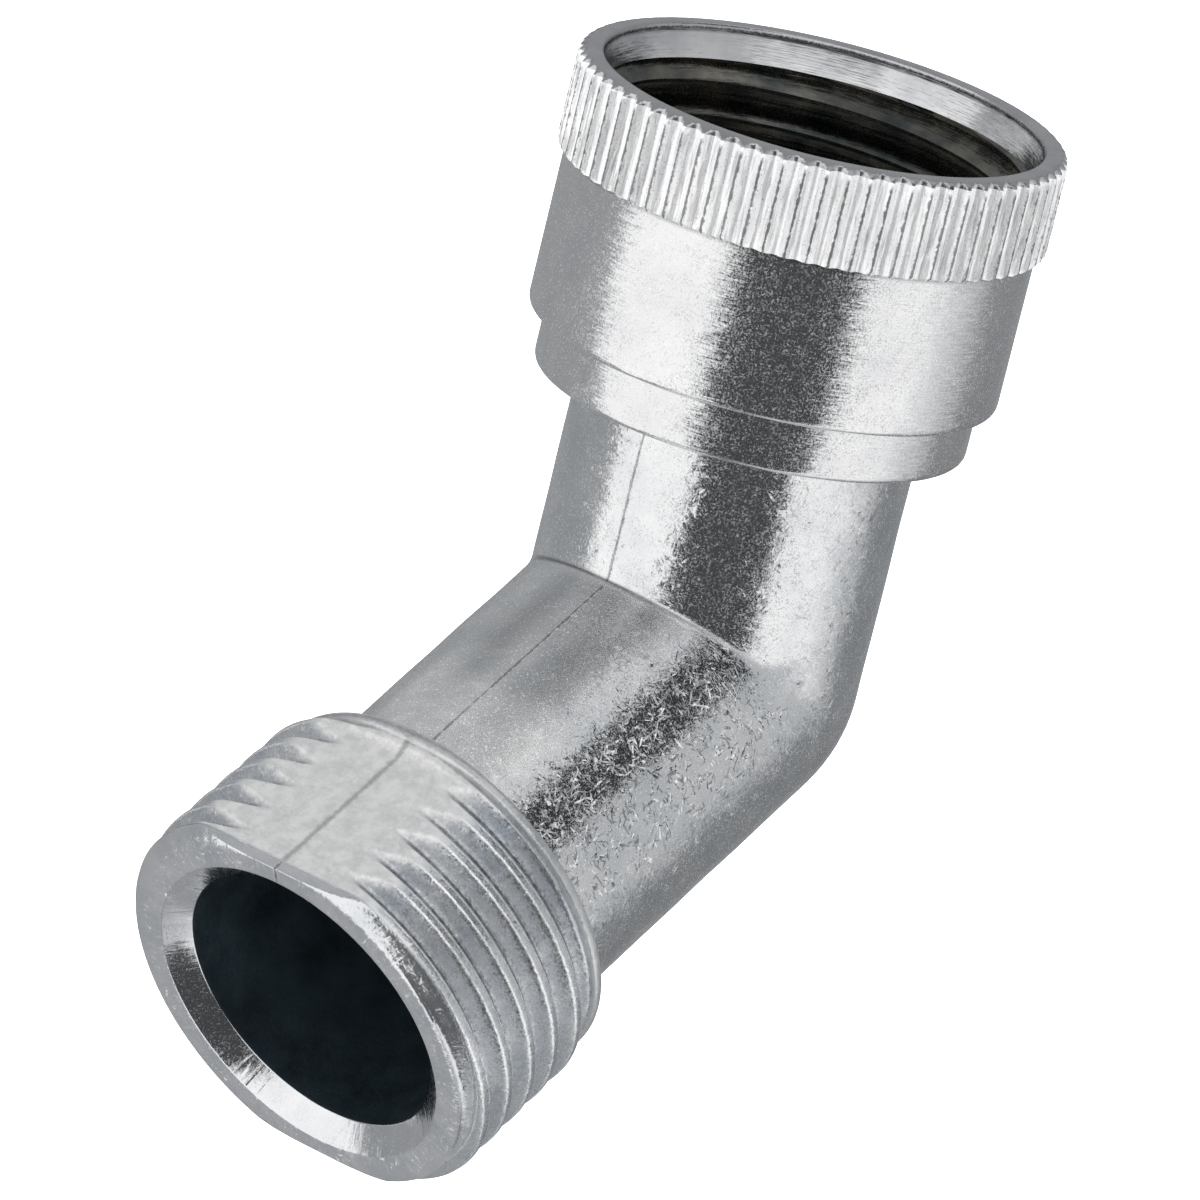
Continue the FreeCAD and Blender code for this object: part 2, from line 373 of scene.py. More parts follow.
def build_elbow(materials):
    angles = elbow_angles()
    skin = RingMesh("elbow_casting", angles)
    side = np.array((1.0, 0, 0))
    face = np.array(FACE)
    axis = np.array(OUTLET_AXIS)
    inner = path_station(PATH_END)[2]
    out = np.cos(angles)[:, None] * inner + np.sin(angles)[:, None] * side

    def turned_ring(radius, height, finish):
        """A ring round the nut's axis."""
        radius = radius + 0 * angles
        points = np.stack([radius * np.sin(angles), -radius * np.cos(angles), height + 0 * angles], -1)
        along = PATH_TOP - height + 0 * angles
        flow = np.stack([radius * np.cos(angles), radius * np.sin(angles), along], -1)
        skin.ring(points, flow, finish)

    def tube_ring(distance, field, finish, wave):
        centre, spokes, radius = cast_ring(distance, angles, field)
        points = centre + spokes * radius[:, None]
        if wave:
            radius = radius + rough(points, 0.22, 0.035) + 0.045 * parting_bump(angles)
            points = centre + spokes * radius[:, None]
        flow = np.stack([radius * np.cos(angles), radius * np.sin(angles), distance + 0 * angles], -1)
        upper, lower, gap = leg_distances(points)
        # painted shade: a thin dark line along the crease where the two tubes meet
        crease_shade = np.exp(-((upper - lower) / 0.10) ** 2) * smooth_step((gap / TUBE_R - 0.62) / 0.2)
        # past the bend the tube's sides are scuffed, and its inner side turns pale and cloudy towards the
        # collar, with a darker patch beside the parting line
        degrees = np.degrees(np.abs(angles))
        past_bend = smooth_step((distance - PATH_BEND_LENGTH / 2) / 2)
        sides = smooth_step((degrees - SCUFFED_FROM) / 8) * smooth_step((SCUFFED_TO - degrees) / 20)
        scuffed = 0.15 + 0.85 * sides * past_bend
        inner_side = smooth_step((PALE_TO - degrees) / 10) * past_bend * wave
        dark_patch = np.exp(-((degrees - DARK_PATCH_ANGLE) / 8) ** 2) * math.exp(-((distance - DARK_PATCH_PLACE) / 6) ** 2)
        dark_patch = dark_patch * inner_side
        pale = 0.17 + 0.73 * smooth_step((distance - DARK_PATCH_PLACE) / 11) + rough(points, 0.45, 0.5)
        worn = inner_side * np.clip(pale, 0, 0.9) * (1 - dark_patch)
        # painted shade along the crease and the darker patch beside the parting line both darken the colour
        # here
        skin.ring(points, flow, finish, np.maximum(0.75 * crease_shade, 0.32 * dark_patch), worn, scuffed)

    def outlet_ring(radius, depth, finish, worn=0.0, recess=0.0):
        radius, depth = radius + 0 * angles, depth + 0 * angles
        points = face + axis * depth[:, None] + out * radius[:, None]
        along = PATH_END + depth
        if finish in ("face", "bevel"):
            radius, along = FACE_R + 0 * angles, along + FACE_R - radius
        flow = np.stack([radius * np.cos(angles), radius * np.sin(angles), along], -1)
        skin.ring(points, flow, finish, recess, worn, scuffed=0.6)

    # lip, tail and shoulder, from the waterway's top edge outwards and down
    for radius, height in rounded_path([
        (TAIL_BORE_R, LIP_TOP - 0.6, 0), (TAIL_BORE_R, LIP_TOP, 0.2), (LIP_R, LIP_TOP, 0.35),
        (LIP_R, LIP_BOTTOM, 0.15), (TAIL_R, LIP_BOTTOM, 0.05), (TAIL_R, SHOULDER, 0.05),
        (TUBE_R, SHOULDER, 0.25), (TUBE_R, SHOULDER - 0.6, 0),
    ]):
        turned_ring(radius, height, "tube")

    # outer skin along the path
    start = PATH_TOP - (SHOULDER - 0.6)
    straight = PATH_END - THREAD_LENGTH - COLLAR_WIDTH - COLLAR_FOOT
    for distance in np.concatenate([
        np.linspace(start, 0, 12)[1:], np.linspace(0, PATH_BEND_LENGTH, 30)[1:],
        np.linspace(PATH_BEND_LENGTH, straight, 20)[1:],
    ]):
        tube_ring(distance, outer_field, "tube", True)

    # collar, thread and lead
    for radius, depth in rounded_path([
        (TUBE_R, -THREAD_LENGTH - COLLAR_WIDTH - COLLAR_FOOT, 0),
        (TUBE_R, -THREAD_LENGTH - COLLAR_WIDTH, 0.3),
        (COLLAR_R, -THREAD_LENGTH - COLLAR_WIDTH, 0.38),
        (COLLAR_R, -THREAD_LENGTH, 0.38),
        (MALE_ROOT_R, -THREAD_LENGTH, 0),
    ])[1:]:
        # painted shade: a dark line where the collar meets the tube; the whole collar is also darkened a
        # little
        recess = 0.12 + 0.5 * math.exp(-((radius - TUBE_R - 0.15) / 0.3) ** 2)
        outlet_ring(cut_flats(radius + 0 * angles, angles, depth), depth, "thread", 0.45, recess)
    ring_step = PITCH / 18
    zone_start, zone_end = -THREAD_LENGTH, THREAD_TOP
    for base in np.arange(zone_start - PITCH / 2, zone_end + PITCH / 2 + ring_step, ring_step):
        depth = np.clip(base - PITCH * angles / TURN, zone_start, zone_end)
        radius = male_radius(angles, depth)
        across_flat = radius * np.cos(angles) * np.sign(np.cos(angles))
        worn = smooth_step((across_flat - FLAT_HALF_WIDTH + 0.8) / 0.75)
        outlet_ring(radius, depth, "thread", worn)
    lead_depths = THREAD_TOP * (1 - np.sin(np.linspace(0, math.pi / 2, 9)))
    for depth in lead_depths[1:]:
        outlet_ring(male_radius(angles, depth + 0 * angles), depth, "face")

    # end face, bevel and waterway
    rim = male_radius(angles, 0 * angles)
    for share in (0.04, 0.12, 0.3, 0.6, 0.85):
        outlet_ring(rim + (BEVEL_R + 0.08 - rim) * share, 0, "face")
    for radius, depth in rounded_path([
        (BEVEL_R + 0.08, 0, 0), (BEVEL_R, 0, 0.06), (OUTLET_BORE_R, -BEVEL_DEPTH, 0.08),
        (OUTLET_BORE_R, -BEVEL_DEPTH - 0.3, 0),
    ])[1:]:
        outlet_ring(radius, depth, "bevel" if depth > -BEVEL_DEPTH + 0.02 else "bore")
    for distance in np.concatenate([
        np.linspace(PATH_END - BEVEL_DEPTH - 0.3, PATH_BEND_LENGTH, 12)[1:],
        np.linspace(PATH_BEND_LENGTH, 0, 24)[1:], np.linspace(0, PATH_TOP - LIP_TOP + 0.6, 8)[1:],
    ]):
        tube_ring(distance, inner_field, "bore", False)

    piece = skin.build(materials, sharp_angle=50)
    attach(piece, "elbow")
    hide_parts("elbow_body")
    return piece


# ---------------------------------------------------------------------------
# Swivel nut
# ---------------------------------------------------------------------------

def nut_angles():
    """Ten columns a tooth: two at the edges of its land and eight across the rounded groove beside it."""
    tooth = TURN / KNURL_TEETH
    half_land = KNURL_CREST_WIDTH / 2 / KNURL_CREST_R
    groove = tooth - 2 * half_land
    shares = (0, 0.05, 0.15, 0.30, 0.45, 0.55, 0.70, 0.85, 0.95, 1.0)
    offsets = [half_land + groove * share for share in shares]
    angles = [KNURL_PHASE + i * tooth + offset for i in range(KNURL_TEETH) for offset in offsets]
    return np.array(angles + [angles[0] + TURN])


def knurl_radius(angles, height):
    """Radius of the knurled band: rounded grooves between narrow worn lands, rounded over at the rim."""
    tooth = TURN / KNURL_TEETH
    half_land = KNURL_CREST_WIDTH / 2 / KNURL_CREST_R
    turns = (angles - KNURL_PHASE) / tooth
    away = np.abs(turns - np.round(turns)) * tooth
    share = np.clip((away - half_land) / (tooth / 2 - half_land), 0, 1)
    number = np.round(turns)
    place = np.stack([np.cos(number * 2.4) * 9, np.sin(number * 2.4) * 9, height * 2.2], -1)
    wear = 0.05 * np.abs(rough(place, 1.0, 1.0)) * (1 - share)
    radius = KNURL_CREST_R - wear - (KNURL_CREST_R - KNURL_ROOT_R) * (1 - (1 - share) ** 2.2)
    rise = np.clip(height + RIM_ROUND, 0, RIM_ROUND)
    top = KNURL_CREST_R - RIM_ROUND + np.sqrt(RIM_ROUND ** 2 - rise ** 2)
    bottom = KNURL_CREST_R - KNURL_CHAMFER + (height - KNURL_END)
    return soft_min(soft_min(radius, top, 0.06), bottom, 0.05)


def female_radius(angles, height):
    turns = (height - FEMALE_RIDGE_PHASE - PITCH * angles / TURN) / PITCH
    ridge = ridge_height(turns, FEMALE_ROOT_WIDTH, FEMALE_ROOT_R - FEMALE_CREST_R)
    radius = FEMALE_ROOT_R - (FEMALE_ROOT_R - FEMALE_CREST_R) * ridge
    slope = (LEAD_IN_END_R - FEMALE_CREST_R) / (LEAD_IN_END - FEMALE_THREAD_START)
    top = FEMALE_CREST_R + (height - FEMALE_THREAD_START) * slope
    bottom = FEMALE_CREST_R + (FEMALE_THREAD_END - height) * slope
    ragged = 0.10 * rough(np.stack([np.sin(angles) * 9, np.cos(angles) * 9, height], -1), 1.3, 1.0)
    return soft_max(radius, soft_max(top + ragged, bottom, 0.05), 0.12)


def build_nut(materials):
    angles = nut_angles()
    skin = RingMesh("knurled_nut", angles)

    def ring(radius, height, finish, recess=0.0):
        radius, height = radius + 0 * angles, height + 0 * angles
        points = np.stack([radius * np.sin(angles), -radius * np.cos(angles), height], -1)
        flow = np.stack([radius * np.cos(angles), radius * np.sin(angles), height], -1)
        skin.ring(points, flow, finish, recess)

    # lead-in, mouth edge and rim
    rim_r = KNURL_CREST_R - RIM_ROUND
    for radius, height in rounded_path([
        (LEAD_IN_END_R, LEAD_IN_END, 0), (MOUTH_R, LEAD_IN_TOP, 0.15), (MOUTH_R, 0, 0.28), (rim_r, 0, 0),
    ]):
        finish = "lead_in" if height < LEAD_IN_TOP + 0.1 else "rim"
        # painted dark reflection: a dark line round the top of the lead-in, under the rim
        ring(radius, height, finish, 0.5 * math.exp(-((height - LEAD_IN_TOP) / 0.12) ** 2))
    # knurl
    over = -RIM_ROUND * (1 - np.cos(np.linspace(0, math.pi / 2, 10)))
    for height in np.concatenate([over, np.linspace(-RIM_ROUND, KNURL_END + 0.4, 10)[1:],
                                  np.linspace(KNURL_END + 0.4, KNURL_END, 6)[1:]]):
        finish = "rim" if height > RIM_FINISH_END else "knurl"
        ring(knurl_radius(angles, height + 0 * angles), height, finish)
    # body, neck and underside; two close rings under each step carry a painted shade line in its corner
    for radius, height in rounded_path([
        (NUT_BODY_R, KNURL_END, 0),
        (NUT_BODY_R, KNURL_END - 0.12, 0),
        (NUT_BODY_R, KNURL_END - 0.3, 0),
        (NUT_BODY_R, -12, 0),
        (NUT_BODY_R, NUT_BODY_END, 0.5),
        (NUT_NECK_R, NUT_BODY_END, 0.05),
        (NUT_NECK_R, NUT_BODY_END - 0.12, 0),
        (NUT_NECK_R, NUT_BODY_END - 0.3, 0),
        (NUT_NECK_R, NUT_END, 0.5),
        (WEB_HOLE_R, NUT_END, 0.2),
        (WEB_HOLE_R, WEB_TOP, 0.1),
        (LIP_POCKET_R, WEB_TOP, 0.1),
        (LIP_POCKET_R, LIP_POCKET_START, 0.1),
        (RELIEF_R, LIP_POCKET_START, 0.1),
        (RELIEF_R, RELIEF_START, 0),
    ]):
        inside = radius < WEB_HOLE_R + 0.1 or (height > WEB_TOP - 0.1 and radius < NUT_NECK_R)
        step = KNURL_END if radius > NUT_NECK_R + 0.6 else NUT_BODY_END
        ring(radius, height, "inside" if inside else "body", 0.7 * math.exp(-((height - step) / 0.13) ** 2))
    # female thread
    ring_step = PITCH / 10
    for base in np.arange(RELIEF_START - PITCH / 2, LEAD_IN_END + PITCH / 2 + ring_step, ring_step):
        height = np.clip(base + PITCH * angles / TURN, RELIEF_START, LEAD_IN_END)
        ring(female_radius(angles, height), height, "inside")

    piece = skin.build(materials, sharp_angle=32)
    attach(piece, "nut")
    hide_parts("swivel_nut")
    return piece


# ---------------------------------------------------------------------------
# Washer
# ---------------------------------------------------------------------------

def build_washer(material):
    low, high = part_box("hose_washer")
    bottom, top, radius = low.z / MM, high.z / MM, high.x / MM
    angles = np.linspace(-math.pi, math.pi, 129)
    skin = RingMesh("rubber_washer", angles)
    for r, height in rounded_path([
        (TAIL_BORE_R, (bottom + top) / 2, 0), (TAIL_BORE_R, bottom, 0.15), (radius, bottom, 0.35),
        (radius, top, 0.35), (TAIL_BORE_R, top, 0.15), (TAIL_BORE_R, (bottom + top) / 2, 0),
    ])[:-1]:
        points = np.stack([r * np.sin(angles), -r * np.cos(angles), height + 0 * angles], -1)
        skin.ring(points, points, "rubber")
    piece = skin.build({"rubber": material}, sharp_angle=40)
    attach(piece, "washer")
    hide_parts("hose_washer")
    return piece


# ---------------------------------------------------------------------------
# Materials
# ---------------------------------------------------------------------------

TRIMMED_LIGHT = (0.84, 0.835, 0.825, 1)
TRIMMED_DARK = (0.70, 0.70, 0.70, 1)
# painted highlight colour for the bright lines along the thread's crest edges
PAINTED_EDGE_HIGHLIGHT = (0.95, 0.95, 0.95, 1)
SCRATCH_HEADINGS = (12, 48, 83, 125, 157)
SCRATCH_STRETCH = (0.8, 4.5, 1.0)


class Nodes:
    """Shorthand for building a node tree."""

    def __init__(self, tree):
        self.tree = tree
        tree.nodes.clear()

    def add(self, kind, inputs=None, **settings):
        node = self.tree.nodes.new(kind)
        for key, value in settings.items():
            setattr(node, key, value)
        for key, value in (inputs or {}).items():
            if isinstance(value, bpy.types.NodeSocket):
                self.tree.links.new(value, node.inputs[key])
            else:
                node.inputs[key].default_value = value
        return node

    def math(self, operation, a, b=0.0, c=0.0, clamp=False):
        node = self.add("ShaderNodeMath", {0: a, 1: b, 2: c}, operation=operation, use_clamp=clamp)
        return node.outputs[0]

    def vector(self, operation, a, b=(0, 0, 0)):
        return self.add("ShaderNodeVectorMath", {0: a, 1: b}, operation=operation).outputs[0]

    def noise(self, vector, scale, detail=2.0, rough_share=0.5):
        node = self.add("ShaderNodeTexNoise", {"Vector": vector, "Scale": scale, "Detail": detail,
                                               "Roughness": rough_share})
        return node.outputs["Fac"]

    def scaled(self, vector, factors):
        return self.vector("MULTIPLY", vector, factors)

    def remap(self, value, low, high, to_low, to_high):
        node = self.add("ShaderNodeMapRange", {"Value": value, "From Min": low, "From Max": high,
                                               "To Min": to_low, "To Max": to_high})
        return node.outputs["Result"]

    def lean(self, normal, colour, amount):
        """A normal pushed by a random colour, centred on grey, times an amount."""
        push = self.vector("SUBTRACT", colour, (0.5, 0.5, 0.5))
        push = self.add("ShaderNodeVectorMath", {0: push, "Scale": amount}, operation="SCALE").outputs[0]
        return self.vector("ADD", normal, push)

    def mix_colour(self, share, first, second):
        node = self.add("ShaderNodeMix", {0: share, 6: first, 7: second}, data_type="RGBA")
        return node.outputs[2]


def seam_marks(nodes, turn, along, wander, width=0.10, strength=0.6):
    """The mould's parting line: a dark hairline along turn 0."""
    off = nodes.math("ADD", nodes.math("MULTIPLY", nodes.math("ABSOLUTE", turn), TUBE_R), wander)
    return nodes.remap(nodes.math("ABSOLUTE", off), 0.2 * width, width, strength, 0.0), 0.0


def thread_shade_highlights_and_seam(nodes, turn, along, wander):
    """Painted shade as dark lines in the thread's roots, painted highlights as bright lines along its
    crests' edges, and the seam on the flats.
    """
    worn = nodes.add("ShaderNodeAttribute", attribute_name="worn").outputs["Fac"]
    open_share = nodes.math("SUBTRACT", 1.0, worn)
    turns = nodes.math("MULTIPLY", along, 1 / PITCH)
    turns = nodes.math("ADD", turns, nodes.math("MULTIPLY", turn, 1 / TURN))
    turns = nodes.math("SUBTRACT", turns, (PATH_END + MALE_RIDGE_PHASE) / PITCH)
    away = nodes.math("ABSOLUTE", nodes.math("SUBTRACT", turns, nodes.math("ROUND", turns)))
    away = nodes.math("MULTIPLY", away, PITCH)
    to_root = nodes.math("ADD", nodes.math("SUBTRACT", PITCH / 2, away), wander)
    # painted shade: dark lines in the roots, away from the trimmed flats
    root_shade = nodes.math("MULTIPLY", nodes.remap(to_root, 0.0, 0.20, 0.7, 0.0), open_share)
    # painted highlight: bright lines along the crests' edges
    to_edge = nodes.math("ABSOLUTE", nodes.math("ADD", nodes.math("SUBTRACT", away, 0.26), wander))
    edge = nodes.math("MULTIPLY", nodes.remap(to_edge, 0.02, 0.08, 0.9, 0.0), open_share)
    seam, _ = seam_marks(nodes, turn, along, wander, 0.26, 0.42)
    return nodes.math("MAXIMUM", root_shade, nodes.math("MULTIPLY", seam, worn)), edge


def knurl_shade_and_striations(nodes, turn, along, wander):
    """Painted shade as a dark jagged line along each land between two grooves, and fainter striations in
    the grooves.
    """
    teeth = nodes.math("MULTIPLY", nodes.math("SUBTRACT", turn, KNURL_PHASE), KNURL_TEETH / TURN)
    away = nodes.math("ABSOLUTE", nodes.math("SUBTRACT", teeth, nodes.math("ROUND", teeth)))
    away = nodes.math("ADD", nodes.math("MULTIPLY", away, TURN / KNURL_TEETH * KNURL_CREST_R), wander)
    below_rim = nodes.remap(along, -RIM_ROUND - 0.1, -RIM_ROUND + 0.2, 1.0, 0.0)
    # painted shade: a dark line along each land
    land_shade = nodes.remap(away, 0.05, 0.11, 0.9, 0.0)
    stretched = nodes.add("ShaderNodeCombineXYZ", {0: nodes.math("MULTIPLY", turn, KNURL_CREST_R * 5),
                                                   1: nodes.math("MULTIPLY", along, 0.3)}).outputs[0]
    lines = nodes.remap(nodes.noise(stretched, 1.0, 2.0, 0.6), 0.52, 0.64, 0.0, 0.38)
    return nodes.math("MULTIPLY", nodes.math("MAXIMUM", land_shade, lines), below_rim), 0.0


def scratched(nodes, normal, place, turn, along, lean):
    """A normal that leans in short thin scratches with several headings, where the surface is scuffed."""
    scuffed = nodes.add("ShaderNodeAttribute", attribute_name="scuffed").outputs["Fac"]
    patchy = nodes.remap(nodes.noise(place, 0.8, 2.0), 0.36, 0.52, 0.0, lean)
    where = nodes.math("MULTIPLY", patchy, scuffed)
    around = nodes.math("MULTIPLY", turn, TUBE_R)
    skin = nodes.add("ShaderNodeCombineXYZ", {0: around, 1: along}).outputs[0]
    for heading in SCRATCH_HEADINGS:
        spun = nodes.add("ShaderNodeVectorRotate", {"Vector": skin, "Angle": math.radians(heading)},
                         rotation_type="Z_AXIS").outputs[0]
        moved = nodes.vector("ADD", spun, (0, 0, heading))
        thin = nodes.noise(nodes.scaled(moved, SCRATCH_STRETCH), 1.0, 1.0)
        line = nodes.remap(thin, 0.60, 0.65, 0.0, 1.0)
        push = nodes.add("ShaderNodeTexNoise", {"Vector": moved, "Scale": 1.6, "Detail": 0.0})
        normal = nodes.lean(normal, push.outputs["Color"], nodes.math("MULTIPLY", line, where))
    return normal


def metal(name, light, dark, roughness, tilts, grain, streaks=None, metallic=1.0, marks=None, specks=0.0,
          hairs=0.0, shade_and_mark_colour=(0.05, 0.05, 0.055)):
    """A bare metal whose surface leans this way and that at several scales.

    tilts is a list of (stretch of the flow vector, amount); grain is (cells per mm, depth in mm); streaks
    is (stretch of the flow vector, depth in mm, roughness drift); specks is how much rougher and paler
    small specks are; hairs is how far short thin scratches lean; marks adds dark lines, some of them
    painted shade, and bright lines of painted highlight. The last argument colours the dark lines and the
    painted shade.
    """
    material = bpy.data.materials.new(name)
    material.use_nodes = True
    nodes = Nodes(material.node_tree)
    flow = nodes.add("ShaderNodeAttribute", attribute_name="flow").outputs["Vector"]
    coords = nodes.add("ShaderNodeTexCoord").outputs["Object"]
    place = nodes.scaled(coords, (1 / MM, 1 / MM, 1 / MM))
    drift = nodes.noise(place, 0.30, 4.0, 0.6)
    patches = nodes.noise(place, 1.1, 3.0, 0.65)
    fine = nodes.noise(place, grain[0], 2.5, 0.6)

    # leaning surface
    busy = nodes.remap(patches, 0.35, 0.65, 0.6, 1.4)
    normal = nodes.add("ShaderNodeNewGeometry").outputs["Normal"]
    for stretch, amount in tilts:
        lean = nodes.add("ShaderNodeTexNoise", {"Vector": nodes.scaled(flow, stretch), "Scale": 1.0,
                                                "Detail": 1.0, "Roughness": 0.5}).outputs["Color"]
        normal = nodes.lean(normal, lean, nodes.math("MULTIPLY", busy, amount))
    parts = nodes.add("ShaderNodeSeparateXYZ", {0: flow})
    turn = nodes.math("ARCTAN2", parts.outputs[1], parts.outputs[0])
    along = parts.outputs[2]
    if hairs:
        normal = scratched(nodes, normal, place, turn, along, hairs)
    normal = nodes.vector("NORMALIZE", normal)

    height = nodes.math("MULTIPLY", fine, grain[1] * MM)
    rough_value = nodes.remap(fine, 0.3, 0.7, roughness * 0.8, roughness * 1.25)
    if specks:
        dots = nodes.noise(place, 8.0, 2.0, 0.7)
        dots = nodes.math("MULTIPLY", nodes.remap(dots, 0.47, 0.64, 0.0, specks), busy)
        rough_value = nodes.math("ADD", rough_value, dots)
        sparks = nodes.remap(nodes.noise(place, 7.0, 2.0, 0.6), 0.58, 0.70, 0.0, 0.5 * specks)
    if streaks:
        lines = nodes.noise(nodes.scaled(flow, streaks[0]), 1.0, 3.0, 0.6)
        height = nodes.math("ADD", height, nodes.math("MULTIPLY", lines, streaks[1] * MM))
        drifted = nodes.math("MULTIPLY", nodes.math("SUBTRACT", lines, 0.5), streaks[2])
        rough_value = nodes.math("ADD", rough_value, drifted)
    colour = nodes.mix_colour(nodes.remap(drift, 0.35, 0.65, 0.0, 1.0), (*light, 1), (*dark, 1))
    worn = nodes.add("ShaderNodeAttribute", attribute_name="worn").outputs["Fac"]
    cloud = nodes.remap(patches, 0.38, 0.62, 0.0, 1.0)
    trimmed = nodes.mix_colour(cloud, TRIMMED_LIGHT, TRIMMED_DARK)
    colour = nodes.mix_colour(worn, colour, trimmed)
    dull = worn
    if marks:
        wander = nodes.math("SUBTRACT", nodes.noise(place, 2.5, 3.0, 0.7), 0.5)
        wander = nodes.math("MULTIPLY", wander, 0.35)
        # marks give dark lines, some of them painted shade, and painted highlights
        shade_and_mark_share, painted_highlight_share = marks(nodes, turn, along, wander)
        colour = nodes.mix_colour(shade_and_mark_share, colour, (*shade_and_mark_colour, 1))
        colour = nodes.mix_colour(painted_highlight_share, colour, PAINTED_EDGE_HIGHLIGHT)
        height = nodes.math("SUBTRACT", height, nodes.math("MULTIPLY", shade_and_mark_share, 0.03 * MM))
        dull = nodes.math("MAXIMUM", worn, painted_highlight_share)
    # painted shade in creases, corners and steps, and a darker patch, from the ring's darkening share
    recess = nodes.add("ShaderNodeAttribute", attribute_name="recess").outputs["Fac"]
    colour = nodes.mix_colour(recess, colour, (*shade_and_mark_colour, 1))
    bump = nodes.add("ShaderNodeBump", {"Height": height, "Distance": 1.0, "Normal": normal})
    metallic_share = nodes.remap(dull, 0.0, 1.0, metallic, 0.88 * metallic)
    if specks:
        metallic_share = nodes.math("SUBTRACT", metallic_share, sparks)
    shader = nodes.add("ShaderNodeBsdfPrincipled", {
        "Base Color": colour, "Metallic": metallic_share,
        "Roughness": nodes.math("ADD", rough_value, nodes.math("MULTIPLY", worn, 0.15), clamp=True),
        "Normal": bump.outputs["Normal"],
    })
    output = nodes.add("ShaderNodeOutputMaterial")
    nodes.tree.links.new(shader.outputs[0], output.inputs["Surface"])
    return material


def rubber(name):
    material = bpy.data.materials.new(name)
    material.use_nodes = True
    nodes = Nodes(material.node_tree)
    coords = nodes.add("ShaderNodeTexCoord").outputs["Object"]
    place = nodes.scaled(coords, (1 / MM, 1 / MM, 1 / MM))
    cloud = nodes.noise(place, 0.5, 3.0)
    fine = nodes.noise(place, 9.0, 2.0)
    colour = nodes.mix_colour(cloud, (0.018, 0.018, 0.018, 1), (0.035, 0.034, 0.033, 1))
    bump = nodes.add("ShaderNodeBump", {"Height": nodes.math("MULTIPLY", fine, 0.02 * MM), "Distance": 1.0})
    shader = nodes.add("ShaderNodeBsdfPrincipled", {
        "Base Color": colour, "Roughness": nodes.remap(fine, 0.3, 0.7, 0.55, 0.75),
        "Normal": bump.outputs["Normal"],
    })
    output = nodes.add("ShaderNodeOutputMaterial")
    nodes.tree.links.new(shader.outputs[0], output.inputs["Surface"])
    return material


# How tilts stretch along a surface: radial, round and along, in cells per millimetre
EVEN = (6.5, 6.5, 6.5)
COARSE = (2.0, 2.0, 2.0)
ROUND = (1.0, 1.0, 13.0)
ALONG = (8.0, 8.0, 0.3)
RADIAL = (6.0, 6.0, 0.5)
elbow_materials = {
    "tube": metal(
        "cast_zinc", light=(0.90, 0.90, 0.90), dark=(0.76, 0.775, 0.79), roughness=0.08,
        tilts=[(EVEN, 0.18), (COARSE, 0.08)], grain=(9.0, 0.006), marks=seam_marks, specks=0.36, hairs=2.8,
    ),
    "thread": metal(
        "cast_thread", light=(0.80, 0.81, 0.82), dark=(0.64, 0.67, 0.71), roughness=0.28,
        tilts=[(EVEN, 0.50), (COARSE, 0.25)], grain=(7.0, 0.014), metallic=0.96, marks=thread_shade_highlights_and_seam,
        specks=0.15,
    ),
    "face": metal(
        "trimmed_face", light=(0.86, 0.86, 0.87), dark=(0.72, 0.74, 0.77), roughness=0.20,
        tilts=[(EVEN, 0.25), (RADIAL, 0.2)], grain=(6.0, 0.008), streaks=((7.0, 7.0, 0.4), 0.012, 0.1),
        metallic=0.95, marks=seam_marks, hairs=0.8,
    ),
    "bevel": metal(
        "polished_bevel", light=(0.88, 0.88, 0.89), dark=(0.76, 0.77, 0.79), roughness=0.10,
        tilts=[(EVEN, 0.14)], grain=(5.0, 0.006), specks=0.2, hairs=0.5,
    ),
    # the waterway's near-black bluish colour is painted shade of the unlit bore
    "bore": metal(
        "oxidised_bore", light=(0.020, 0.036, 0.046), dark=(0.008, 0.016, 0.024), roughness=0.55,
        tilts=[(EVEN, 0.3)], grain=(2.0, 0.02), metallic=0.2,
    ),
}
nut_materials = {
    "body": metal(
        "turned_zinc", light=(0.89, 0.89, 0.89), dark=(0.82, 0.82, 0.83), roughness=0.08,
        tilts=[(EVEN, 0.15), (ROUND, 0.20)], grain=(9.0, 0.006), streaks=((0.10, 0.10, 9.0), 0.006, 0.06),
        specks=0.36,
    ),
    "rim": metal(
        "turned_rim", light=(0.68, 0.68, 0.69), dark=(0.57, 0.57, 0.59), roughness=0.28,
        tilts=[(EVEN, 0.25)], grain=(6.0, 0.010),
    ),
    "lead_in": metal(
        "lead_in", light=(0.81, 0.81, 0.81), dark=(0.63, 0.64, 0.66), roughness=0.16,
        tilts=[(ROUND, 0.18)], grain=(5.0, 0.004), streaks=((0.15, 0.15, 8.0), 0.012, 0.15),
    ),
    "knurl": metal(
        "knurled_zinc", light=(0.95, 0.95, 0.95), dark=(0.86, 0.865, 0.875), roughness=0.32,
        tilts=[(EVEN, 0.20), (ALONG, 0.6)], grain=(7.0, 0.014), metallic=0.66, marks=knurl_shade_and_striations,
        shade_and_mark_colour=(0.16, 0.16, 0.165),
    ),
    # the nut's dark inside colour, with a warm tint, is painted shade of the unlit hollow
    "inside": metal(
        "nut_inside", light=(0.29, 0.275, 0.24), dark=(0.10, 0.11, 0.11), roughness=0.26,
        tilts=[(ROUND, 0.25)], grain=(4.0, 0.006), streaks=((0.2, 0.2, 6.0), 0.02, 0.2),
    ),
}
washer_material = rubber("washer_rubber")

build_elbow(elbow_materials)
build_nut(nut_materials)
build_washer(washer_material)


# ---------------------------------------------------------------------------
# Studio
# ---------------------------------------------------------------------------

